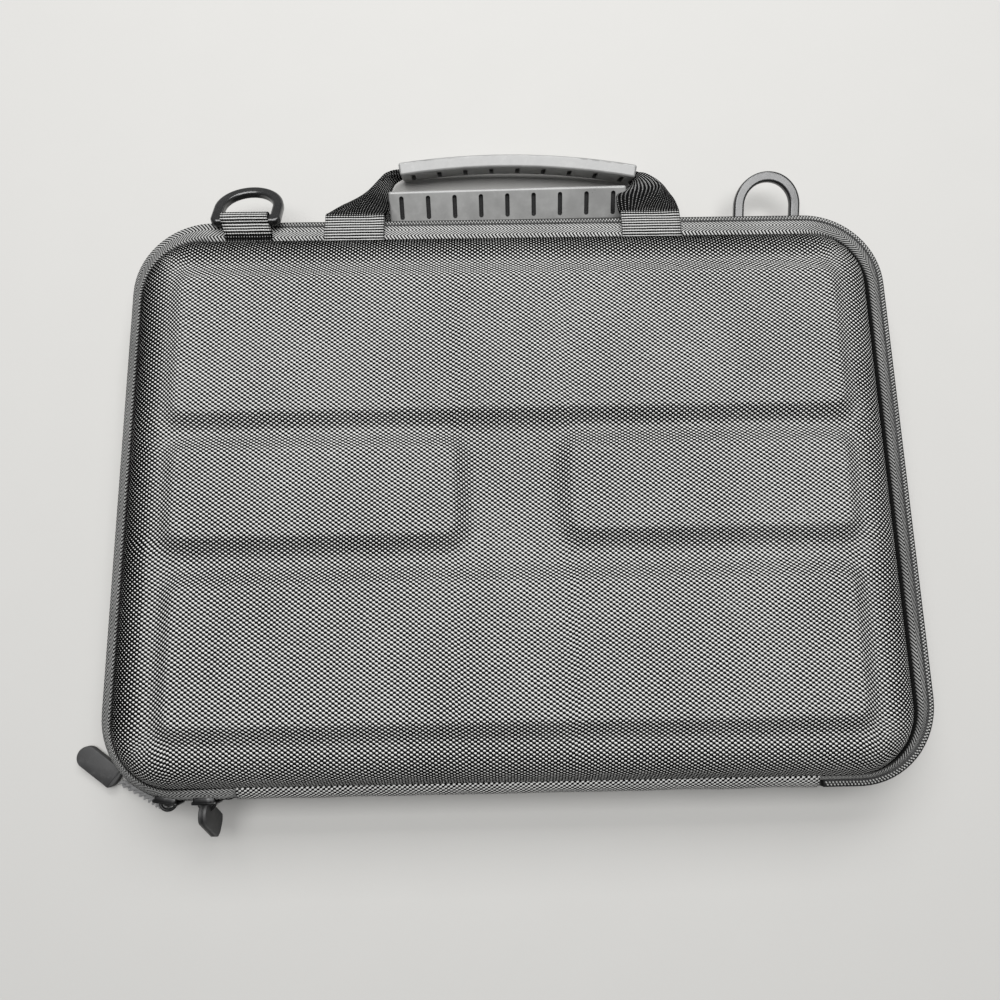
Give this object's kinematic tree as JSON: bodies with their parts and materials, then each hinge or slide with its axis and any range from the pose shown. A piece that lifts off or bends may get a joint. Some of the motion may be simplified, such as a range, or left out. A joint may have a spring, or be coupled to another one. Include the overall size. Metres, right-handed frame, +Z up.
{
  "type": "laptop hard case",
  "caption": "Zipped hard case for a small laptop: two moulded foam shells under woven nylon, a fabric hinge, two webbing handles with moulded grips and two shoulder strap rings.",
  "frame": {"origin": "on the flat resting face of the back shell, below the middle of the zip", "axes": "+X along the fabric hinge, +Y from the hinge towards the handles, +Z up, out of the front shell"},
  "size_m": [0.3369, 0.2917, 0.044],
  "materials": {
    "woven_cover": "coarse woven nylon, charcoal",
    "foam_core": "moulded closed-cell foam, black",
    "lining": "brushed knit lining, black",
    "binding": "ribbed binding tape, black",
    "zip_tape": "herringbone zip tape, dark grey",
    "zip_coil": "moulded coil teeth, black",
    "elastic": "ribbed elastic band, black",
    "grip": "soft satin moulding, grey-black",
    "webbing": "ribbed polyester webbing, black",
    "ring": "smooth satin moulding, dark grey",
    "slider": "die-cast metal, black coating with worn bright edges",
    "pull_cord": "twisted cord, black",
    "pull_rubber": "matte moulded rubber, black"
  },
  "bodies": {
    "base": {"back_cover": "woven_cover", "back_core": "foam_core", "back_lining": "lining", "back_binding": "binding", "back_tape": "zip_tape", "back_coil": "zip_coil", "zip_end_stops": "zip_coil", "hinge_strip": "woven_cover", "hinge_lining": "lining", "corner_straps": "elastic", "ring_right_tab": "webbing"},
    "lid": {"front_cover": "woven_cover", "front_core": "foam_core", "front_lining": "lining", "front_binding": "binding", "front_tape": "zip_tape", "front_tape_end": "zip_tape", "front_coil": "zip_coil", "front_coil_end": "zip_coil", "ring_left_tab": "webbing"},
    "front_handle": {"front_grip": "grip", "front_strap": "webbing"},
    "rear_handle": {"rear_grip": "grip", "rear_strap": "webbing"},
    "strap_ring_left": {"ring_left": "ring"},
    "strap_ring_right": {"ring_right": "ring"},
    "slider_a": {"slider_a": "slider"},
    "pull_a": {"pull_a_cord": "pull_cord", "pull_a_tab": "pull_rubber"},
    "slider_b": {"slider_b": "slider"},
    "pull_b": {"pull_b_cord": "pull_cord", "pull_b_tab": "pull_rubber"}
  },
  "joints": [
    {"name": "lid_hinge", "type": "hinge", "parent": "base", "child": "lid", "pos_m": [0, -0.1207, 0.022], "axis": [1, 0, 0], "range_deg": [0, 180], "deforming": ["hinge_strip", "hinge_lining", "front_tape_end", "front_coil_end"]},
    {"name": "front_handle_swing", "type": "hinge", "parent": "lid", "child": "front_handle", "pos_m": [0, 0.1072, 0.0289], "axis": [-1, 0, 0], "range_deg": [-168, 0], "deforming": ["front_strap"]},
    {"name": "rear_handle_swing", "type": "hinge", "parent": "base", "child": "rear_handle", "pos_m": [0, 0.1072, 0.0151], "axis": [1, 0, 0], "range_deg": [0, 15], "deforming": ["rear_strap"]},
    {"name": "ring_left_swing", "type": "hinge", "parent": "lid", "child": "strap_ring_left", "pos_m": [-0.1114, 0.1148, 0.03], "axis": [-1, 0, 0], "range_deg": [-156, 0]},
    {"name": "ring_right_swing", "type": "hinge", "parent": "base", "child": "strap_ring_right", "pos_m": [0.1156, 0.1198, 0.0112], "axis": [1, 0, 0], "range_deg": [-25, 55]},
    {"name": "slider_a_travel", "type": "hinge", "parent": "base", "child": "slider_a", "pos_m": [-0.127, -0.086, 0.022], "axis": [0, 0, 1], "range_deg": [-70, 0]},
    {"name": "pull_a_swing", "type": "hinge", "parent": "slider_a", "child": "pull_a", "pos_m": [-0.13296, -0.11978, 0.022], "axis": [0, 0, -1], "range_deg": [-100, 0]},
    {"name": "slider_b_travel", "type": "slide", "parent": "base", "child": "slider_b", "axis": [1, 0, 0], "range_m": [0, 0.0035]},
    {"name": "pull_b_swing", "type": "hinge", "parent": "slider_b", "child": "pull_b", "pos_m": [-0.1182, -0.1217, 0.022], "axis": [1, 0, 0], "range_deg": [-100, 0]}
  ]
}
